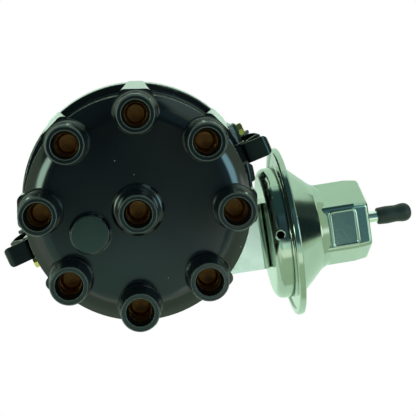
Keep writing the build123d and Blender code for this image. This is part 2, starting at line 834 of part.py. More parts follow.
def spigot():
    """The ring under the rim that centres the cap in the bowl, cut away over the lead grommet."""
    outer = bowl_inner - 5 * run_gap
    bottom = bowl_top - spigot_depth
    half_gap = notch_width / 2 + 2
    gap = block((outer - 2 * spigot_wall, -half_gap, bottom - 1),
        (bowl_radius, half_gap, bowl_top - seat_gap))
    return tube(outer, outer - spigot_wall, bottom, bowl_top + overlap) - Rot(0, 0, grommet_angle) * gap


def terminal_boss():
    """The boss under the roof that holds the stem of a tower's brass insert."""
    foot = terminal_floor - 3
    radius = terminal_radius + terminal_wall
    return turned(
        (0, foot), (radius + overlap, foot, 1), (radius + 2 * overlap, ceiling_z + 1), (0, ceiling_z + 1))


def brush_boss():
    """The boss in the middle of the roof that guides the carbon brush."""
    foot = ceiling_z - brush_boss_drop
    radius = brush_radius + brush_boss_wall
    return turned((0, foot), (radius, foot, 1), (radius + 1, ceiling_z + 1), (0, ceiling_z + 1))


def socket():
    """What is taken out of a tower: mouth, funnel, socket, the brass insert's seat and its stem's hole."""
    seat = terminal_radius + seat_gap
    stem = terminal_stem + seat_gap
    foot = terminal_floor - terminal_depth
    return turned(
        (0, foot), (stem, foot), (stem, terminal_floor), (seat, terminal_floor), (seat, socket_floor),
        (socket_radius, socket_floor), (socket_radius, cap_top - socket_funnel, 0.3),
        (socket_throat, cap_top - socket_bevel, 0.3), (socket_mouth, cap_top),
        (socket_mouth, cap_top + 1), (0, cap_top + 1))


def terminal(stem_bottom):
    """A brass insert: a cup with a raised ring in its floor, on a stem that goes down through the roof."""
    bottom = terminal_floor + seat_gap
    cup_floor = terminal_floor + 1.6
    inner = terminal_radius - terminal_wall
    rim = socket_floor - seat_gap
    ring_top = cup_floor + terminal_ring_height
    return turned(
        (0, stem_bottom), (terminal_stem, stem_bottom), (terminal_stem, bottom), (terminal_radius, bottom),
        (terminal_radius, rim), (inner, rim, 0.2), (inner, cup_floor), (terminal_ring, cup_floor),
        (terminal_ring, ring_top), (0.6 * terminal_ring, ring_top), (0.5 * terminal_ring, cup_floor),
        (0, cup_floor))


def tower_terminals():
    """The eight plug-lead inserts, each with the electrode block that faces the rotor."""
    half = electrode_width / 2
    insert = Pos(tower_ring, 0) * terminal(electrode_top - overlap)
    insert += block((electrode_inner, -half, electrode_bottom),
        (tower_ring + terminal_stem, half, electrode_top))
    return group(around(insert, tower_angles))


def coil_terminal():
    """The middle insert, which the ignition coil's lead plugs into."""
    return terminal(brush_hole_top + seat_gap)


def carbon_brush():
    """The carbon brush in the middle of the cap."""
    return turned((0, brush_bottom), (brush_radius, brush_bottom, 0.8), (brush_radius, brush_top),
        (0, brush_top))


def brush_spring():
    """The spring that presses the carbon brush on the rotor."""
    low = brush_top + brush_wire + seat_gap
    high = brush_hole_top - brush_wire
    return coil_spring((0, 0, low), (0, 0, high), brush_radius - 3 * brush_wire, brush_wire, 5)


# ---- Spring clips ----

def clip_plate():
    """The plate screwed to the housing, with two ears for the clip's hinge pin."""
    plate_low = clip_pad_low + 2
    ear_side = clip_width / 2 + 0.35
    plate = block(
        (clip_face, -ear_side - clip_ear, plate_low),
        (clip_face + clip_plate_thickness, clip_plate_side, clip_pad_high - overlap))
    plate -= block(
        (clip_face - 1, ear_side + 2 * clip_ear, plate_low - 1),
        (clip_face + 5, 2 * clip_plate_side, clip_screw_height - 5))
    ear_end = clip_pivot_reach + 2.6
    ear = extrude(
        Plane.XZ * outline(
            (clip_face, clip_pivot_height - 4), (ear_end, clip_pivot_height - 3, 2),
            (ear_end, clip_pivot_height + 3, 2), (clip_face, clip_pivot_height + 5)), -clip_ear)
    plate += Pos(0, ear_side, 0) * ear
    plate += Pos(0, -ear_side - clip_ear, 0) * ear
    plate -= Pos(clip_pivot_reach, 0, 0) * across(clip_pin_radius + seat_gap, 5 * clip_width,
        clip_pivot_height)
    return plate - outward(clip_screw_radius + 0.15, clip_face - 2, 8, clip_screw_offset, clip_screw_height)


def clip_pin():
    """The pin that a clip hinges on, held in its plate's ears."""
    return Pos(clip_pivot_reach, 0, 0) * across(clip_pin_radius, clip_width + 3 * clip_ear,
        clip_pivot_height)


def clip():
    """A spring clip: an eye round its pin, a bowed strap, the hook over the cap's ledge, and a finger tab."""
    half = clip_thickness / 2
    eye = clip_pin_radius + 0.1 + clip_thickness
    hook_z = ledge_top + free_gap + half
    hook_x = ledge_reach - 1.7
    stand_off = ledge_reach + 2 * free_gap + half
    route = [
        (clip_pivot_reach + eye - half, clip_pivot_height, 0),
        (clip_pivot_reach + eye + 0.2, clip_pivot_height + 3, 6),
        (clip_bulge - half, clip_pivot_height + 12, 8),
        (clip_bulge - half, clip_pivot_height + 18, 4),
        (stand_off, ledge_bottom + 4.5, 3),
        (stand_off, hook_z, 1.1),
        (hook_x, hook_z, 1.1),
        (hook_x, hook_z + 3.4, 1.4),
        (clip_tab_reach - half, clip_tab_height, 1.8),
        (clip_tab_reach + half, clip_tab_height - 2.4, 0),
    ]
    corners = block(
        (cap_bore, -clip_width / 2, clip_pivot_height - 2 * eye),
        (clip_tab_reach + 2 * half, clip_width / 2, clip_tab_height + 2 * half))
    body = strap(route, clip_thickness, clip_width)
    body &= fillet(corners.edges().filter_by(Axis.Z).group_by(Axis.X)[-1], clip_tab_rounding)
    body += Pos(clip_pivot_reach, 0, 0) * across(eye, clip_width, clip_pivot_height)
    return body - Pos(clip_pivot_reach, 0, 0) * across(clip_pin_radius + run_gap, 2 * clip_width,
        clip_pivot_height)


def clip_screws():
    """The two screws that hold the clips' plates."""
    placed = Pos(clip_screw_face, clip_screw_offset, clip_screw_height) * (
        Rot(0, 90, 0) * hex_screw(clip_screw_radius, clip_screw_length))
    return group(around(placed, clip_angles))


# ---- Vacuum unit ----

def rear_shell():
    """The pressed rear shell: a shallow drum with a flat wall, and the flange that the diaphragm lies on."""
    t = shell_thickness
    flange_front = flange_start + t
    inner = drum_radius - t
    shell = turned(
        (link_window, drum_start), (drum_radius, drum_start, drum_rounding),
        (drum_radius, flange_start, 0.8),
        (diaphragm_clamp, flange_start), (diaphragm_clamp, flange_front),
        (inner, flange_front, 1.2), (inner, drum_start + t, drum_rounding - t),
        (link_window, drum_start + t))
    vent = Rot(0, 0, 90 - vent_angle) * outward(vent_radius, 0, 2 * drum_radius, 0, vent_place)
    return vacuum_frame * (shell - vent)


def hexagon(corner, height):
    """A hexagon with rounded corners and a flat towards the top of the vacuum unit."""
    flat_sided = RegularPolygon(corner, 6, rotation=0)
    return Pos(0, 0, height) * fillet(flat_sided.vertices(), nose_edge_rounding)


def nose_form(corner, start, end, rounding):
    """A hexagonal nose: plain flats, a slight taper towards its rounded end, and softened corners."""
    taper_start = end - nose_taper_length
    nose = extrude(hexagon(corner, start), taper_start - start)
    nose += loft([hexagon(corner, taper_start), hexagon(corner - nose_taper, end)])
    nose = fillet(nose.faces().sort_by(Axis.Z)[-1].edges(), rounding)
    return nose & turned(
        (0, start - 1), (corner + 8, start - 1), (corner + 1.5, nose_start - 2),
        (corner, nose_start + 2, 3),
        (corner, end + 1), (0, end + 1))


def front_shell():
    """The pressed front shell: a crimped flange, a cone, and a hexagonal nose with a closed end."""
    t = shell_thickness
    wall = 1.15 * t
    face = turned(
        (0, front_start), (flange_radius, front_start), (flange_radius, front_face, 0.6),
        (cone_radius, front_face, 2),
        (nose_corner + 0.6, nose_start - 0.6, 3), (nose_corner - 1.2, nose_start + 3), (0, nose_start + 3))
    mouth = cone_radius - 1.2
    hollow = turned(
        (0, front_start - 1), (mouth, front_start - 1), (mouth, front_start),
        (nose_corner - wall, nose_start - 1.2, 2), (0, nose_start - 1.2))
    shell = face + crimp() + nose_form(nose_corner, nose_start - 3, nose_end, nose_rounding)
    shell -= hollow
    shell -= nose_form(nose_corner - wall, nose_start - 3.5, nose_end - t, nose_rounding - t)
    shell -= rod(nipple_radius + seat_gap, nose_start, nose_end + 1)
    return vacuum_frame * shell


def crimp():
    """The front shell's edge, folded round the rear shell's flange."""
    inner = diaphragm_clamp + seat_gap
    lip_inner = inner - crimp_reach
    fold = flange_start - seat_gap
    into_face = front_start + shell_thickness / 4
    return turned(
        (inner, into_face), (inner, fold), (lip_inner, fold), (lip_inner, flange_rear, 0.3),
        (flange_radius, flange_rear, 0.9), (flange_radius, into_face))


def diaphragm():
    """The rubber diaphragm, clamped between the shells, with one soft fold round its moving plates."""
    low, high = diaphragm_low, diaphragm_high
    fold = drum_radius - 6
    half = 2.2
    return vacuum_frame * turned(
        (diaphragm_clamp, low), (diaphragm_clamp, high), (fold + half, high, 0.8), (fold, high + half, 1.6),
        (fold - half, high, 1.2), (piston_radius + free_gap, high), (piston_radius + free_gap, low),
        (fold - half, low, 1.2), (fold, low + half, 0.8), (fold + half, low, 1))


def piston():
    """The steel plates riveted to the middle of the diaphragm."""
    low = flange_start + shell_thickness - piston_proud
    rivet_top = piston_face + 1.5
    return vacuum_frame * turned(
        (link_hole, low), (piston_radius, low, 0.4), (piston_radius, piston_face, 0.4),
        (piston_rivet, piston_face, 0.3),
        (piston_rivet, rivet_top, 0.5), (link_hole, rivet_top))


def return_spring():
    """The spring in the nose that pushes the diaphragm back."""
    wire = return_spring_wire
    low = piston_face + wire + seat_gap
    high = nose_end - 2 * shell_thickness - wire - 2 * seat_gap
    return vacuum_frame * coil_spring((0, 0, low), (0, 0, high), return_spring_radius, wire, 5)


def vacuum_link():
    """The flat link from the diaphragm's middle to the pin on the moving plate."""
    length = piston_face + 1.5 - link_pin_place
    face = Circle(link_width / 2) + Rectangle(length, link_bar_width, align=(Align.MIN, Align.CENTER))
    face -= Circle(link_pin_radius + free_gap)
    return Pos(link_pin_place, vacuum_y, 0) * slab(face, link_low, link_high)


def hose_nipple():
    """The plated tube that the vacuum hose pushes onto, flared inside the nose."""
    inside = nose_end - shell_thickness - seat_gap
    flare = nipple_radius + nipple_flare
    return vacuum_frame * turned(
        (nipple_bore, inside - 0.8), (flare, inside - 0.8), (flare, inside), (nipple_radius, inside),
        (nipple_radius, nipple_end, 0.5), (nipple_bore, nipple_end))


def dust_cap():
    """The rubber cap on the nipple, with a slight waist before its rounded end."""
    length = dust_cap_end - dust_cap_start
    bore = nipple_radius + run_gap
    bore_end = nipple_end + overlap
    return vacuum_frame * turned(
        (0, bore_end), (bore, bore_end), (bore, dust_cap_start), (dust_cap_mouth, dust_cap_start, 0.5),
        (dust_cap_radius, dust_cap_start + 0.27 * length, 6),
        (dust_cap_mouth, dust_cap_start + 0.55 * length, 4),
        (dust_cap_bulb, dust_cap_start + 0.72 * length, 2), (dust_cap_bulb, dust_cap_end, 3.2),
        (0, dust_cap_end))


def vacuum_bracket():
    """Sheet bent to a right angle: a level plate on the housing's lug, and a leg against the drum."""
    half = bracket_thickness / 2
    level = bracket_top - half
    leg_x = drum_start - seat_gap - half
    route = [(bracket_start, level, 0), (leg_x, level, bracket_bend - half), (leg_x, bracket_leg_bottom, 0)]
    body = Pos(0, vacuum_y, 0) * strap(route, bracket_thickness, 2 * bracket_half_width)
    body = fillet(body.edges().filter_by(Axis.X).group_by(Axis.Z)[0], 5)
    body -= drill(bowl_radius + free_gap) + vacuum_frame * rod(link_window - 0.2, lug_reach, drum_start)
    for x, y in vacuum_screws:
        body -= drill(vacuum_screw_radius + 0.25, x, y)
    return body


def vacuum_unit_screws():
    """The two screws that hold the vacuum unit's bracket on the housing's lug."""
    screw = hex_screw(vacuum_screw_radius, vacuum_screw_length)
    return group(Pos(x, y, bracket_top + seat_gap) * screw for x, y in vacuum_screws)


def lead_grommet():
    """The rubber block in the bowl's notch that the pick-up's two leads go through."""
    half = grommet_width / 2
    waist = notch_width / 2 - 2 * seat_gap
    top = bowl_top - 0.4
    wall = bowl_radius + 0.1
    inner_wall = bowl_inner - 0.8
    outer = block((wall, -half, grommet_bottom - 0.8), (grommet_reach, half, top))
    outer = fillet(outer.edges().filter_by(Axis.Z).group_by(Axis.X)[-1], 1.5)
    neck = block((inner_wall, -waist, grommet_bottom + seat_gap), (wall + overlap, waist, top))
    inner = block((inner_wall - grommet_lip, -half, grommet_bottom - 0.6),
        (inner_wall + 0.1, half, top - spigot_depth))
    body = outer + neck + inner
    for z in (grommet_bottom + 4, grommet_bottom + 4 + lead_spacing):
        body -= outward(lead_hole, bowl_inner - 10, 30, 0, z)
    return Rot(0, 0, grommet_angle) * body


def plate_screws():
    """The three screws that hold the fixed plate in the bowl."""
    screw = hex_screw(plate_screw_radius, plate_screw_length)
    places = [polar(plate_boss_reach, angle) for angle in plate_boss_angles]
    return group(Pos(x, y, fixed_plate_top + seat_gap) * screw for x, y in places)


def pickup_screw():
    """The screw that holds the pick-up once its air gap is set."""
    screw = hex_screw(plate_screw_radius, plate_thickness + pickup_bracket_thickness - 0.4)
    return Rot(0, 0, pickup_angle) * (Pos(pickup_screw_reach, pickup_screw_offset,
        pickup_bracket_top + seat_gap) * screw)


# ---- The pieces, each in a node of its own ----

pieces = {
    "housing": housing(),
    "upper_bush": bush(upper_bush_bottom),
    "lower_bush": bush(-shank_length),
    "shank_seal": shank_seal(),
    "lead_grommet": lead_grommet(),
    "drive_shaft": drive_shaft(),
    "drive_collar": drive_collar(),
    "roll_pin": roll_pin(),
    "lower_thrust_washer": thrust_washer(collar_top),
    "upper_thrust_washer": thrust_washer(floor_top),
    "weight_plate": weight_plate(),
    "weight_a": flyweight(),
    "weight_b": Rot(0, 0, 180) * flyweight(),
    "advance_spring_a": advance_spring(0),
    "advance_spring_b": advance_spring(180),
    "advance_sleeve": advance_sleeve(),
    "reluctor": reluctor(),
    "rotor": rotor(),
    "rotor_blade": rotor_blade(),
    "rotor_contact": rotor_contact(),
    "fixed_plate": fixed_plate(),
    "plate_hub": plate_hub(),
    "plate_screws": plate_screws(),
    "moving_plate": moving_plate(),
    "link_clip": link_clip(),
    "pickup_bracket": pickup_bracket(),
    "pickup_screw": pickup_screw(),
    "magnet": magnet(),
    "pole_piece": pole_piece(),
    "pickup_coil": pickup_coil(),
    "cap": cap(),
    "tower_terminals": tower_terminals(),
    "coil_terminal": coil_terminal(),
    "carbon_brush": carbon_brush(),
    "brush_spring": brush_spring(),
    "clip_screws": clip_screws(),
    "rear_shell": rear_shell(),
    "front_shell": front_shell(),
    "diaphragm": diaphragm(),
    "piston": piston(),
    "return_spring": return_spring(),
    "vacuum_link": vacuum_link(),
    "hose_nipple": hose_nipple(),
    "dust_cap": dust_cap(),
    "vacuum_bracket": vacuum_bracket(),
    "vacuum_screws": vacuum_unit_screws(),
}
for side, angle in zip(("right", "left"), clip_angles):
    pieces["clip_" + side] = Rot(0, 0, angle) * clip()
    pieces["clip_plate_" + side] = Rot(0, 0, angle) * clip_plate()
    pieces["clip_pin_" + side] = Rot(0, 0, angle) * clip_pin()

os.makedirs("parts", exist_ok=True)
for name, solid in pieces.items():
    export_step(solid, "parts/" + name + ".step")
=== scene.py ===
# %% [markdown]
# # An ignition distributor, seen from straight above
# A distributor sends the coil's spark to each plug in turn. What shows of it is a black moulded cap with
# nine lead sockets, two spring clips, and a bright zinc-plated vacuum unit at its side. Its solids come
# ready-made, in metres, from the frame. This script dresses them: it gives each piece its real finish,
# adds the fine forms that light catches, and sets up a plain studio round them.

# %% Load the frame
from math import cos, pi, radians, sin

import bmesh
import bpy
from mathutils import Euler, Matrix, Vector


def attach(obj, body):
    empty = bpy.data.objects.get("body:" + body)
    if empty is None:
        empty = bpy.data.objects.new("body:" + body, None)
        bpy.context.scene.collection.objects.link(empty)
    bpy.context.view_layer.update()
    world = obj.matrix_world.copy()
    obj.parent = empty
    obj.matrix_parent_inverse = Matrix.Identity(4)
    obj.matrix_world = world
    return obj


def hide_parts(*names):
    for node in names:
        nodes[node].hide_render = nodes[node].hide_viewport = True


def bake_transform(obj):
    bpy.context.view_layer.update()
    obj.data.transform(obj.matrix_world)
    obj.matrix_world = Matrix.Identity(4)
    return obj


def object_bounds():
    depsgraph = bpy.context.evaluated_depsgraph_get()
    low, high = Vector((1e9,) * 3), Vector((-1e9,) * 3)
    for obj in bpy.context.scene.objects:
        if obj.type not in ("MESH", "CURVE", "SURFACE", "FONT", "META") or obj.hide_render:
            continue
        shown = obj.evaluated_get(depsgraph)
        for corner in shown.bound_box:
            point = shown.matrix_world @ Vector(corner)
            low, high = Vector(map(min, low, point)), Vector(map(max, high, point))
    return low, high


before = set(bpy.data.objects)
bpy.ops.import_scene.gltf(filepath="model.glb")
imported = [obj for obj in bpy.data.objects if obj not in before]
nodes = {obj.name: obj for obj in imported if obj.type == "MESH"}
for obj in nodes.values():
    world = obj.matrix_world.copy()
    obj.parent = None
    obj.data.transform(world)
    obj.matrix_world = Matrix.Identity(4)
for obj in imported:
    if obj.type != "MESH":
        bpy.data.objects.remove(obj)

MM = 0.001
scene = bpy.context.scene
cad_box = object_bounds()

# %% [markdown]
# ## Helpers for every material
# Colours are easiest to compare with a real thing as hex values, which are in sRGB. Shaders count light
# in linear values, so one function turns the first into the second. Another adds a node with its settings
# and links: with that one call a material reads as a short list of what it is made of.

# %% Colour and node helpers
def linear(colour):
    """An sRGB hex colour such as "#8a9b7c" as the linear RGBA that shaders use."""
    channels = [int(colour[i:i + 2], 16) / 255 for i in (1, 3, 5)]
    return [c / 12.92 if c <= 0.04045 else ((c + 0.055) / 1.055) ** 2.4 for c in channels] + [1.0]


def add_node(tree, kind, inputs=None, **settings):
    """Adds a node of a kind, with its settings, and each input set to a value or to another node's output."""
    node = tree.nodes.new(kind)
    for name, value in settings.items():
        setattr(node, name, value)
    for key, value in (inputs or {}).items():
        if isinstance(value, bpy.types.NodeSocket):
            tree.links.new(value, node.inputs[key])
        else:
            node.inputs[key].default_value = value
    return node


# %% Material and dressing helpers
def start_material(name, **shader_values):
    """A new material with a Principled shader, whose plain values are set on its own sockets."""
    material = bpy.data.materials.new(name)
    material.use_nodes = True
    shader = material.node_tree.nodes["Principled BSDF"]
    for key, value in shader_values.items():
        shader.inputs[key.replace("_", " ")].default_value = value
    return material, material.node_tree, shader


def dress(material, *names):
    """Gives a material to CAD nodes, by name."""
    for name in names:
        nodes[name].data.materials.clear()
        nodes[name].data.materials.append(material)
    print(material.name, "on", ", ".join(names))


# %% [markdown]
# ## The black moulding
# Distributor caps are pressed from a thermoset: phenolic or alkyd resin, filled with mineral and glass.
# It is black all through. The polished mould leaves a thin glossy skin over a duller body, so the shader
# has a clear coat. The filler leaves a faint unevenness of a few millimetres, and here and there lies a
# pale speck of dust. Such resins have an IOR of about 1.5 to 1.6, and the lower end is used. To the eye
# it is a deep, even black with narrow glints.

# %% Thermoset colour
# dust, in mm: how wide the cells of its pattern are, a speck's radius, and the share of cells that have one
DUST_PITCH = 6
SPECK_RADIUS = 0.21
DUST_SHARE = 0.2
# the round pad on the deck, in mm
PAD_MIDDLE = (-18.9, -5.95)
PAD_RADIUS = 7.2


def dusty_black(tree, place, flow):
    """Black with soft clouds of filler, and pale specks of dust in a share of the cells of a pattern."""
    black = add_node(tree, "ShaderNodeMix", {
        "Factor": flow, "A": linear("#090b0f"), "B": linear("#0f1216")}, data_type="RGBA")
    cells = add_node(tree, "ShaderNodeTexVoronoi", {
        "Vector": place, "Scale": 1 / (DUST_PITCH * MM), "Randomness": 1.0})
    speck = add_node(tree, "ShaderNodeMath", {
        0: cells.outputs["Distance"], 1: SPECK_RADIUS / DUST_PITCH}, operation="LESS_THAN")
    draw = add_node(tree, "ShaderNodeSeparateColor", {"Color": cells.outputs["Color"]})
    chosen = add_node(tree, "ShaderNodeMath", {0: draw.outputs["Red"], 1: DUST_SHARE}, operation="LESS_THAN")
    dust = add_node(tree, "ShaderNodeMath", {0: speck.outputs[0], 1: chosen.outputs[0]}, operation="MULTIPLY")
    return add_node(tree, "ShaderNodeMix", {
        "Factor": dust.outputs[0], "A": black.outputs["Result"], "B": linear("#8d9a96")}, data_type="RGBA")


def over_pad(tree, place):
    """1 within the round pad's outline seen from above, at any height, and 0 elsewhere."""
    middle = (PAD_MIDDLE[0] * MM, PAD_MIDDLE[1] * MM, 0)
    off = add_node(tree, "ShaderNodeVectorMath", {0: place, 1: middle}, operation="SUBTRACT")
    flat = add_node(tree, "ShaderNodeVectorMath", {0: off.outputs[0], 1: (1, 1, 0)}, operation="MULTIPLY")
    reach = add_node(tree, "ShaderNodeVectorMath", {0: flat.outputs[0]}, operation="LENGTH")
    return add_node(tree, "ShaderNodeMath", {
        0: reach.outputs["Value"], 1: PAD_RADIUS * MM}, operation="LESS_THAN").outputs[0]


# %% Thermoset material
def thermoset():
    """The cap's and the rotor's moulding."""
    material, tree, shader = start_material(
        "phenolic thermoset, moulded", IOR=1.5, Specular_IOR_Level=0.12, Coat_Weight=1.0, Coat_Roughness=0.12)
    place = add_node(tree, "ShaderNodeTexCoord").outputs["Object"]
    # flow of the filler: soft clouds about 9 mm across
    flow = add_node(tree, "ShaderNodeTexNoise", {"Vector": place, "Scale": 1 / (9 * MM), "Detail": 3.0})
    # grain of the skin: about 0.6 mm, as coarse as it needs to be to show
    grain = add_node(tree, "ShaderNodeTexNoise", {"Vector": place, "Scale": 1 / (0.6 * MM), "Detail": 2.0})
    dusty = dusty_black(tree, place, flow.outputs["Fac"])
    # the pad's face was not polished in the mould, so it is greyer; the moulding below it isn't seen
    pad = over_pad(tree, place)
    padded = add_node(tree, "ShaderNodeMix", {
        "Factor": pad, "A": dusty.outputs["Result"], "B": linear("#202b29")}, data_type="RGBA")
    tree.links.new(padded.outputs["Result"], shader.inputs["Base Color"])
    gloss = add_node(tree, "ShaderNodeMapRange", {
        "Value": flow.outputs["Fac"], "To Min": 0.26, "To Max": 0.34})
    tree.links.new(gloss.outputs["Result"], shader.inputs["Roughness"])
    bump = add_node(tree, "ShaderNodeBump", {
        "Height": grain.outputs["Fac"], "Strength": 0.06, "Distance": 0.05 * MM})
    tree.links.new(bump.outputs["Normal"], shader.inputs["Normal"])
    return material


phenolic = thermoset()
dress(phenolic, "cap", "rotor")

# %% [markdown]
# ## Metals
# Each metal keeps Blender's default IOR, because metallic shading takes its reflection from the base
# colour. What tells them apart is colour, roughness, and the marks of the tool that made them. One
# function makes them all from those few facts, with sizes in millimetres. A drawn picture of each finish
# would show the same, but only this way stays sharp at any distance.

# %% Metal function
def metal(name, tone, shade, rough, patch, relief=0.0, relief_size=0.5):
    """A metal in clouds of two colours, patch mm wide, with bumps relief_size mm wide and relief mm deep."""
    material, tree, shader = start_material(name, Metallic=1.0)
    place = add_node(tree, "ShaderNodeTexCoord").outputs["Object"]
    clouds = add_node(tree, "ShaderNodeTexNoise", {"Vector": place, "Scale": 1 / (patch * MM), "Detail": 4.0})
    colour = add_node(tree, "ShaderNodeMix", {
        "Factor": clouds.outputs["Fac"], "A": linear(tone), "B": linear(shade)}, data_type="RGBA")
    tree.links.new(colour.outputs["Result"], shader.inputs["Base Color"])
    # the clouds differ a little in polish too
    polish = add_node(tree, "ShaderNodeMapRange", {
        "Value": clouds.outputs["Fac"], "To Min": rough * 0.8, "To Max": rough * 1.25})
    tree.links.new(polish.outputs["Result"], shader.inputs["Roughness"])
    if relief:
        bumps = add_node(tree, "ShaderNodeTexNoise", {
            "Vector": place, "Scale": 1 / (relief_size * MM), "Detail": 3.0})
        bump = add_node(tree, "ShaderNodeBump", {
            "Height": bumps.outputs["Fac"], "Strength": 1.0, "Distance": relief * MM})
        tree.links.new(bump.outputs["Normal"], shader.inputs["Normal"])
    return material


# %% [markdown]
# ## Bright zinc plate
# The vacuum unit's two shells are pressed from sheet steel, zinc plated and blue passivated. The plate is
# nearly a mirror, so the eye gets the room, sharp, with a cool greenish tint. The flat on top of the nose
# keeps faint marks of the die, so a bump is let through there only: where a face looks straight up, and
# lies far enough out along the vacuum unit.

# %% Zinc and its die marks
def dimple_flats(material, depth, size, start):
    """Die marks, depth mm deep and size mm across, on faces that look straight up beyond start mm along X."""
    tree = material.node_tree
    shader = tree.nodes["Principled BSDF"]
    place = add_node(tree, "ShaderNodeTexCoord")
    up = add_node(tree, "ShaderNodeSeparateXYZ", {"Vector": place.outputs["Normal"]})
    along = add_node(tree, "ShaderNodeSeparateXYZ", {"Vector": place.outputs["Object"]})
    level = add_node(tree, "ShaderNodeMapRange", {
        "Value": up.outputs["Z"], "From Min": 0.985, "From Max": 0.999})
    beyond = add_node(tree, "ShaderNodeMapRange", {
        "Value": along.outputs["X"], "From Min": start * MM, "From Max": (start + 1) * MM})
    where = add_node(tree, "ShaderNodeMath", {
        0: level.outputs["Result"], 1: beyond.outputs["Result"]}, operation="MULTIPLY")
    marks = add_node(tree, "ShaderNodeTexNoise", {
        "Vector": place.outputs["Object"], "Scale": 1 / (size * MM), "Detail": 4.0, "Roughness": 0.7})
    bump = add_node(tree, "ShaderNodeBump", {
        "Height": marks.outputs["Fac"], "Strength": where.outputs[0], "Distance": depth * MM})
    tree.links.new(bump.outputs["Normal"], shader.inputs["Normal"])


zinc = metal("bright zinc plate, blue passivated", "#b9c5b8", "#a8b5a7", 0.11, 12)
dimple_flats(zinc, 0.022, 1.0, 75)
dress(zinc, "rear_shell", "front_shell")

# %% [markdown]
# ## The other metals
# Plate on rolled sheet is pale and satin, because the rolled steel shows through it. Yellow passivation
# gives small screws their straw colour. Ground steel is a plain grey with soft highlights. A blasted
# casting scatters light in grains, drawn 0.7 mm wide so that they can show.

# %% Plated, cast and ground metals
dull_zinc = metal("zinc plate on rolled sheet", "#f6fbf4", "#eaf2ea", 0.2, 8, 0.01, 0.8)
dress(dull_zinc, "vacuum_bracket", "vacuum_screws", "weight_plate", "fixed_plate",
      "moving_plate", "pickup_bracket", "vacuum_link", "piston", "hose_nipple")
yellow_zinc = metal("zinc plate, yellow passivated", "#fff09c", "#ecd07a", 0.25, 2)
dress(yellow_zinc, "clip_screws")
blasted = metal("cast aluminium, blasted", "#aeb3ae", "#979d98", 0.42, 6, 0.08, 0.7)
dress(blasted, "housing")
steel = metal("ground steel, oiled", "#9ea3a5", "#85898b", 0.22, 5)
dress(steel, "drive_shaft", "drive_collar", "roll_pin", "lower_thrust_washer", "upper_thrust_washer",
      "weight_a", "weight_b", "advance_spring_a", "advance_spring_b", "advance_sleeve", "reluctor",
      "plate_screws", "link_clip", "pickup_screw", "pole_piece", "clip_pin_right", "clip_pin_left",
      "brush_spring", "return_spring", "rotor_contact")

# %% [markdown]
# Sintered bronze is porous and dull. Phosphated steel is a soft dark grey, and oil-blackened spring steel
# is nearly black with a sheen. Brass in a socket has gone brown in patches, so it shows golden only here
# and there.

# %% Bronze, dark steels and brass
bronze = metal("sintered bronze", "#b08a58", "#8f6c40", 0.35, 1.5, 0.03, 0.4)
dress(bronze, "upper_bush", "lower_bush", "plate_hub")
phosphated = metal("steel, phosphated", "#565c58", "#444a47", 0.5, 3, 0.03, 0.4)
dress(phosphated, "clip_plate_right", "clip_plate_left")
blackened = metal("spring steel, oil blackened", "#2a2f2f", "#363b39", 0.3, 5)
dress(blackened, "clip_right", "clip_left")
brass = metal("turned brass", "#a87c42", "#6e5042", 0.32, 2.2)
dress(brass, "tower_terminals", "coil_terminal", "rotor_blade")

# %% [markdown]
# ## Rubber and other dull mouldings
# The dust cap, the grommet, the shank's seal and the diaphragm are nitrile rubber: a dark, soft-looking
# grey with the fine grain of the mould. Ferrite and pressed carbon are dull and nearly black, and a varnished
# winding is brown and glossier. A paler, matt grey on thin lines at the cap's socket mouths is a painted
# highlight, in place of the glints along their edges. They differ only in colour, gloss and grain, so one
# function makes them all.

# %% Rubber and the rest
def moulded(name, colour, rough, grain_size):
    """A dull moulded material with a grain of grain_size mm."""
    material, tree, shader = start_material(name, Base_Color=linear(colour), Roughness=rough)
    place = add_node(tree, "ShaderNodeTexCoord").outputs["Object"]
    grain = add_node(tree, "ShaderNodeTexNoise", {
        "Vector": place, "Scale": 1 / (grain_size * MM), "Detail": 3.0})
    bump = add_node(tree, "ShaderNodeBump", {
        "Height": grain.outputs["Fac"], "Strength": 0.3, "Distance": 0.1 * MM})
    tree.links.new(bump.outputs["Normal"], shader.inputs["Normal"])
    return material


rubber = moulded("nitrile rubber, moulded", "#1c2624", 0.5, 0.8)
ferrite = moulded("sintered ferrite", "#2a2a2c", 0.5, 0.4)
winding = moulded("taped winding, varnished", "#3a2318", 0.35, 0.8)
carbon = moulded("pressed carbon", "#1c1c1c", 0.5, 0.3)
# this paler grey is a painted highlight: it stands in for the glints along the socket mouths' edges
painted_rim_highlight = moulded("phenolic thermoset, painted highlight line", "#46524f", 0.4, 0.4)
dress(rubber, "dust_cap", "lead_grommet", "shank_seal", "diaphragm")
dress(ferrite, "magnet")
dress(winding, "pickup_coil")
dress(carbon, "carbon_brush")

# %% [markdown]
# ## Turned pieces
# The inserts in the sockets are brass tubes, and the collar of each lines the lower part of its socket.
# Like the other round forms that this script adds, it is a profile spun round an upright axis. A lathe
# does the same, so the profile is all that has to be drawn.

# %% Spinning a profile
def place_on_body(name, mesh, material, body):
    """Turns a bmesh into a piece of one material that rides on a body."""
    data = bpy.data.meshes.new(name)
    mesh.to_mesh(data)
    mesh.free()
    data.materials.append(material)
    piece = bpy.data.objects.new(name, data)
    scene.collection.objects.link(piece)
    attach(piece, body)
    print(name, "of", len(data.vertices), "points on", body)


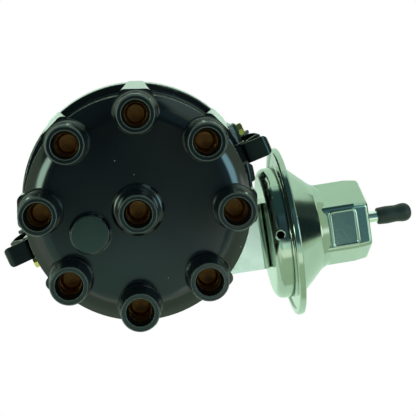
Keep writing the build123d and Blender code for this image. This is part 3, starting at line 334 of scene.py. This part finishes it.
def spin(name, profile, places, material, body, steps=72):
    """A piece turned from a profile of (radius, height) points, in mm, standing at each place."""
    mesh = bmesh.new()
    turns = [2 * pi * i / steps for i in range(steps)]
    for x, y in places:
        rings = []
        for radius, height in profile:
            rings.append([mesh.verts.new((
                (x + radius * cos(turn)) * MM, (y + radius * sin(turn)) * MM, height * MM))
                for turn in turns])
        for lower, upper in zip(rings, rings[1:]):
            for i in range(steps):
                j = (i + 1) % steps
                mesh.faces.new((lower[i], lower[j], upper[j], upper[i]))
    # an edge that turns by more than this, in radians, stays sharp
    sharp_turn = 0.6
    for edge in mesh.edges:
        edge.smooth = len(edge.link_faces) == 2 and edge.calc_face_angle(0) < sharp_turn
    for face in mesh.faces:
        face.smooth = True
    place_on_body(name, mesh, material, body)


# %% Socket liners
tower_count = 8
tower_ring = 36.0
first_tower = -7.6
towers = [radians(first_tower + 360 / tower_count * i) for i in range(tower_count)]
sockets = [(0, 0)] + [(tower_ring * cos(tower), tower_ring * sin(tower)) for tower in towers]
tube_foot = 121.6
tube_lip = 128.3
tube_inside = 4.12
tube_outside = 4.23
# the tube's inside, its rolled lip, its outside against the moulding, and back
liner = [(tube_inside, tube_foot), (tube_inside, tube_lip - 0.3), (tube_inside + 0.04, tube_lip),
         (tube_outside - 0.03, tube_lip), (tube_outside, tube_lip - 0.3), (tube_outside, tube_foot),
         (tube_inside, tube_foot)]
spin("socket_liners", liner, sockets, brass, "root")

# %% [markdown]
# ## Rings in the cups
# The floor of each cup keeps the fine rings of the lathe, a few of them here, coarse enough to show. Its
# corner is rounded, so it curves up to the collar and darkens softly.

# %% Cups
cup_floor = 117.45
ring_count = 4
ring_start = 0.35
ring_pitch = 0.6
ring_rise = 0.09
rings = [(0.01, cup_floor)]
for i in range(ring_count):
    radius = ring_start + ring_pitch * i
    rings += [(radius, cup_floor), (radius + 0.12, cup_floor + ring_rise),
              (radius + 0.3, cup_floor + ring_rise), (radius + 0.42, cup_floor)]
# the rounded corner of the cup, up to the collar
rings += [(2.9, cup_floor + 0.04), (3.3, cup_floor + 0.2), (3.7, cup_floor + 0.6), (3.95, cup_floor + 1.2),
          (4.08, cup_floor + 2.2), (4.11, 121.7)]
spin("cup_rings", rings, sockets, brass, "root", steps=48)

# %% [markdown]
# ## Fine edges of the moulding
# Each mouth has a rounded lip inside, a flat face, and a hair of flash outside, where the mould's inserts
# met. Its two edges carry thin lines of painted highlight: a paler, matt grey that stands in for the glints
# along them. They are forms of their own, because a line of that width needs a real edge of its own. A low
# cove rises round the foot of the middle tower.

# %% Mouths, painted highlight lines and the cove
cap_top = 133.0
deck = 119.2
mouths = [(5.2, cap_top - 1.3), (5.2, cap_top - 0.35), (5.23, cap_top - 0.17), (5.32, cap_top - 0.05),
          (5.42, cap_top), (5.52, cap_top + 0.02), (5.56, cap_top + 0.02), (6.36, cap_top + 0.02),
          (6.4, cap_top + 0.02), (6.48, cap_top + 0.05), (6.6, cap_top + 0.05), (6.76, cap_top - 0.02),
          (6.88, cap_top - 0.16), (6.93, cap_top - 0.5)]
spin("mouth_edges", mouths, sockets, phenolic, "root")
# thin rings on the outer and inner edges of each mouth, in the paler grey of painted highlight
outer_highlight_line = [(6.66, cap_top + 0.02), (6.7, cap_top + 0.08), (6.8, cap_top + 0.06), (6.9, cap_top - 0.04),
              (6.96, cap_top - 0.22)]
inner_highlight_line = [(5.18, cap_top - 0.26), (5.2, cap_top - 0.12), (5.27, cap_top), (5.36, cap_top + 0.05),
              (5.43, cap_top)]
spin("outer_highlight_line", outer_highlight_line, sockets, painted_rim_highlight, "root")
spin("inner_highlight_line", inner_highlight_line, sockets, painted_rim_highlight, "root")
cove = [(10.1, deck - 0.2), (9.95, deck + 0.2), (9.6, deck + 0.7), (9.1, deck + 1.1), (8.5, deck + 1.35),
        (7.6, deck + 1.45)]
spin("middle_cove", cove, [(0, 0)], phenolic, "root")

# %% [markdown]
# ## Marks of the press on the vacuum unit
# The vent in the drum is punched, and the punch leaves a bright burr round it. The vent faces almost
# straight up, so the burr can be spun round an upright axis too. The die leaves a fine raised line round
# the nose's upper flat.

# %% Burr of the vent
# the vacuum unit's axis, its drum's radius, and the vent's place along it and its turn from straight up
axis_y = -26.2
axis_z = 64.0
drum = 28.3
vent_x = 54.8
vent_angle = radians(7)
vent_y, vent_z = axis_y + drum * sin(vent_angle), axis_z + drum * cos(vent_angle)
burr = [(1.5, vent_z - 0.5), (1.53, vent_z - 0.1), (1.7, vent_z + 0.08), (2.0, vent_z + 0.12),
        (2.25, vent_z + 0.05), (2.4, vent_z - 0.15)]
spin("vent_burr", burr, [(vent_x, vent_y)], zinc, "root", steps=48)


# %% Line round the nose's flat
def ridge(name, middle, half_long, half_wide, corner, width, height, material, body):
    """A raised line, width and height mm, round a flat of half_long by half_wide mm with rounded corners."""
    mesh = bmesh.new()
    x, y, z = middle
    corner_sides = ((1, 1), (-1, 1), (-1, -1), (1, -1))
    corner_steps = 6
    # across the line: how far out, as a share of half its width, and how high, as a share of its height
    section = ((-1, -0.2), (-0.6, 0.6), (0, 1), (0.6, 0.6), (1, -0.2))
    loops = []
    for share, lift in section:
        reach, loop = corner + share * width / 2, []
        for turn, (side_x, side_y) in enumerate(corner_sides):
            for step in range(corner_steps + 1):
                angle = radians(90 * turn + 90 / corner_steps * step)
                loop.append(mesh.verts.new((
                    (x + side_x * (half_long - corner) + reach * cos(angle)) * MM,
                    (y + side_y * (half_wide - corner) + reach * sin(angle)) * MM,
                    (z + lift * height) * MM)))
        loops.append(loop)
    for inner, outer in zip(loops, loops[1:]):
        for i in range(len(inner)):
            j = (i + 1) % len(inner)
            mesh.faces.new((inner[i], outer[i], outer[j], inner[j])).smooth = True
    place_on_body(name, mesh, material, body)


# half of the hexagonal nose across its corners, and how far along the vacuum unit its flat's middle lies
nose_corner = 18.2
flat_middle_x = 83.2
flat_half_long = 5.4
flat_half_wide = 7.3
flat_corner = 1.4
line_width = 1.3
line_height = 0.24
nose_flat = axis_z + nose_corner * cos(radians(30))
ridge("nose_line", (flat_middle_x, axis_y, nose_flat), flat_half_long, flat_half_wide, flat_corner,
      line_width, line_height, zinc, "root")

# %% [markdown]
# ## The return spring
# The spring in the nose shortens as the diaphragm comes forward: its rear end goes with the link, and its
# front end stays in the nose. A CAD piece can't bend, so a copy of its mesh stands in, baked where it
# lies, and the CAD piece is hidden.

# %% Return spring
still = nodes["return_spring"]
coil = bpy.data.objects.new("return_coil", still.data.copy())
coil.matrix_world = still.matrix_world
scene.collection.objects.link(coil)
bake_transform(coil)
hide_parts("return_spring")
print("return_coil of", len(coil.data.vertices), "points, between link and root")

# %% [markdown]
# ## The room
# Polished metal shows the room more than itself. The room here is plain: pale walls, a darker ceiling
# above the part, and a white floor. It is painted on the world, patch by patch, by the direction a ray
# leaves in. A lobe is a round patch, and a slope is a straight band of the ceiling.

# %% Start of the world
scene.view_settings.view_transform = "Standard"
world = bpy.data.worlds.new("studio")
scene.world = world
world.use_nodes = True
sky = world.node_tree
sky.nodes.clear()


def both(one, other):
    """Where two masks overlap."""
    return add_node(sky, "ShaderNodeMath", {0: one, 1: other}, operation="MULTIPLY").outputs[0]


def towards(azimuth, zenith):
    """The direction at an azimuth from +X and an angle from straight up, in degrees."""
    flat = sin(radians(zenith))
    return flat * cos(radians(azimuth)), flat * sin(radians(azimuth)), cos(radians(zenith))


# %% Patches of the room
def lobe(direction, inner, outer):
    """How far a ray points into a round patch: 1 within inner degrees of its middle, 0 beyond outer."""
    way = add_node(sky, "ShaderNodeTexCoord").outputs["Generated"]
    near = add_node(sky, "ShaderNodeVectorMath", {
        0: way, 1: Vector(direction).normalized()}, operation="DOT_PRODUCT")
    return add_node(sky, "ShaderNodeMapRange", {
        "Value": near.outputs["Value"], "From Min": cos(radians(outer)), "From Max": cos(radians(inner)),
    }, interpolation_type="SMOOTHSTEP").outputs["Result"]


def slope(axis, start, end, soft=0.04):
    """1 for rays to the ceiling whose lean along an axis, per unit of height, is between start and end."""
    way = add_node(sky, "ShaderNodeTexCoord").outputs["Generated"]
    parts = add_node(sky, "ShaderNodeSeparateXYZ", {"Vector": way})
    lean = add_node(sky, "ShaderNodeMath", {
        0: parts.outputs[axis], 1: parts.outputs["Z"]}, operation="DIVIDE").outputs[0]
    after = add_node(sky, "ShaderNodeMapRange", {
        "Value": lean, "From Min": start - soft, "From Max": start + soft}, interpolation_type="SMOOTHSTEP")
    before = add_node(sky, "ShaderNodeMapRange", {
        "Value": lean, "From Min": end + soft, "From Max": end - soft}, interpolation_type="SMOOTHSTEP")
    return both(after.outputs["Result"], before.outputs["Result"])


def paint(wall, where, colour, strength):
    """The room with one more patch of light or dark in it."""
    shade = [c * strength for c in linear(colour)[:3]] + [1.0]
    return add_node(sky, "ShaderNodeMix", {
        "Factor": where, "A": wall, "B": shade}, data_type="RGBA").outputs["Result"]


# %% Walls
room = linear("#bcd8b8")
# a window on the left, daylight on the far wall at the right, and the dark figure of someone on the far side
room = paint(room, lobe(towards(195, 50), 10, 34), "#e2f2dc", 1.2)
room = paint(room, lobe(towards(70, 72), 16, 34), "#c8f2ea", 1.0)
room = paint(room, lobe(towards(108, 57), 35, 42), "#2a4446", 1.2)
# a dark door low on the right, and a white panel over it
room = paint(room, lobe(towards(3, 99), 15, 18), "#1d2f30", 0.8)
room = paint(room, lobe(towards(-8, 72), 8, 11), "#f4fff6", 1.9)
print("walls painted")

# %% [markdown]
# The ceiling is pale above the near side and dark overhead, and on the right the dark comes a little
# further over the near side and ends in a paler blue grey. The dark part is what keeps the deck of the
# cap black: a glossy black face is only as dark as what it mirrors. A small bright patch stands where the
# flat bracket and the nose's upper flat mirror it.

# %% Ceiling
overhead = lobe((0, 0, 1), 34, 44)
left_of, right_of = slope("X", -0.8, 0.02), slope("X", 0.02, 0.8)
room = paint(room, both(overhead, slope("Y", -0.75, -0.4)), "#eafbe6", 1.3)
room = paint(room, both(overhead, slope("Y", -0.4, -0.1)), "#a6d6c6", 1.15)
room = paint(room, both(overhead, both(slope("Y", -0.14, 0.8), left_of)), "#303c48", 0.6)
room = paint(room, both(overhead, both(slope("Y", -0.19, 0.8), right_of)), "#303c48", 0.6)
room = paint(room, both(overhead, both(slope("Y", -0.27, 0.8), slope("X", 0.15, 0.8))), "#5d8692", 0.8)
bracket_patch = both(slope("Y", -0.42, -0.165, 0.02), slope("X", 0.05, 0.115, 0.02))
room = paint(room, both(overhead, bracket_patch), "#eefff2", 2.0)
print("ceiling painted")

# %% [markdown]
# Two softboxes give the cap's shoulder its bright streaks, one on each side. Rays straight from the
# camera don't see the room at all: they see white, so the part stands on a clean ground.

# %% Softboxes and background
room = paint(room, lobe(towards(5, 41), 5, 15), "#b4f0ff", 6.0)
room = paint(room, lobe(towards(160, 42), 5, 15), "#d6ffe4", 8.0)
seen = add_node(sky, "ShaderNodeLightPath").outputs["Is Camera Ray"]
shown = add_node(sky, "ShaderNodeMix", {"Factor": seen, "A": room, "B": (1, 1, 1, 1)}, data_type="RGBA")
background = add_node(sky, "ShaderNodeBackground", {"Color": shown.outputs["Result"], "Strength": 1.0})
add_node(sky, "ShaderNodeOutputWorld", {"Surface": background.outputs[0]})
print("world of", len(sky.nodes), "nodes")

# %% [markdown]
# ## The floor
# A sheet of white paper lies under the part. It lights the undersides, and the metal mirrors it. On the
# right, far from the part, something dark lies on it, and the front shell's cone mirrors that as a dark
# patch. The paper also glows a little, in place of light that a real room would throw on it.

# %% Floor sheet
floor_gap = 0.5 * MM
# half of the sheet's width, in metres
half = 1.2
low = cad_box[0]
floor_z = low[2] - floor_gap
corners = [(-half, -half, floor_z), (half, -half, floor_z), (half, half, floor_z), (-half, half, floor_z)]
floor_mesh = bpy.data.meshes.new("floor")
floor_mesh.from_pydata(corners, [], [(0, 1, 2, 3)])
floor = bpy.data.objects.new("floor", floor_mesh)
scene.collection.objects.link(floor)
print("floor at", round(floor_z / MM, 1), "mm")

# %% Paper
# the dark wedge: Y over X lies within a half width of a middle, and X is beyond a start, in metres
wedge_middle = 0.05
wedge_half_width = 0.24
wedge_start = 0.24
paper, tree, shader = start_material("white paper", Roughness=0.9)
spot = add_node(tree, "ShaderNodeNewGeometry").outputs["Position"]
across = add_node(tree, "ShaderNodeSeparateXYZ", {"Vector": spot})
ratio = add_node(tree, "ShaderNodeMath", {0: across.outputs["Y"], 1: across.outputs["X"]}, operation="DIVIDE")
aside = add_node(tree, "ShaderNodeMath", {
    0: ratio.outputs[0], 1: wedge_middle, 2: wedge_half_width}, operation="COMPARE")
beyond = add_node(tree, "ShaderNodeMath", {0: across.outputs["X"], 1: wedge_start}, operation="GREATER_THAN")
wedge = add_node(tree, "ShaderNodeMath", {0: aside.outputs[0], 1: beyond.outputs[0]}, operation="MULTIPLY")
tint = add_node(tree, "ShaderNodeMix", {
    "Factor": wedge.outputs[0], "A": linear("#f2f5ea"), "B": linear("#101c1c")}, data_type="RGBA")
tree.links.new(tint.outputs["Result"], shader.inputs["Base Color"])

# %% Glow of the paper
sheen = add_node(tree, "ShaderNodeEmission", {"Color": tint.outputs["Result"], "Strength": 0.22})
lit = add_node(tree, "ShaderNodeAddShader", {0: shader.outputs[0], 1: sheen.outputs[0]})
glow = add_node(tree, "ShaderNodeEmission", {"Color": (1, 1, 1, 1), "Strength": 1.0})
straight = add_node(tree, "ShaderNodeLightPath").outputs["Is Camera Ray"]
mix = add_node(tree, "ShaderNodeMixShader", {0: straight, 1: lit.outputs[0], 2: glow.outputs[0]})
tree.links.new(mix.outputs[0], tree.nodes["Material Output"].inputs["Surface"])
floor_mesh.materials.append(paper)
print("paper of", len(tree.nodes), "nodes")

# %% [markdown]
# ## The camera
# It stands over the cap and looks down, a little off the shaft's axis, so the towers lean outwards. The
# shift moves the picture over the film, so the camera tilts only a few degrees and the deck's circle
# stays nearly round.

# %% Camera
camera_place = (8.15, 44.55, 478.84)
camera_turn = (-4.649, -2.55, -8.793)
camera = bpy.data.objects.new("camera", bpy.data.cameras.new("camera"))
camera.location = [along * MM for along in camera_place]
camera.rotation_euler = Euler([radians(angle) for angle in camera_turn])
camera.data.lens = 83.82
camera.data.shift_x = 0.0572
camera.data.shift_y = -0.0993
camera.data.clip_start = 0.01
scene.collection.objects.link(camera)
scene.camera = camera
print("camera", camera_place[2], "mm up")
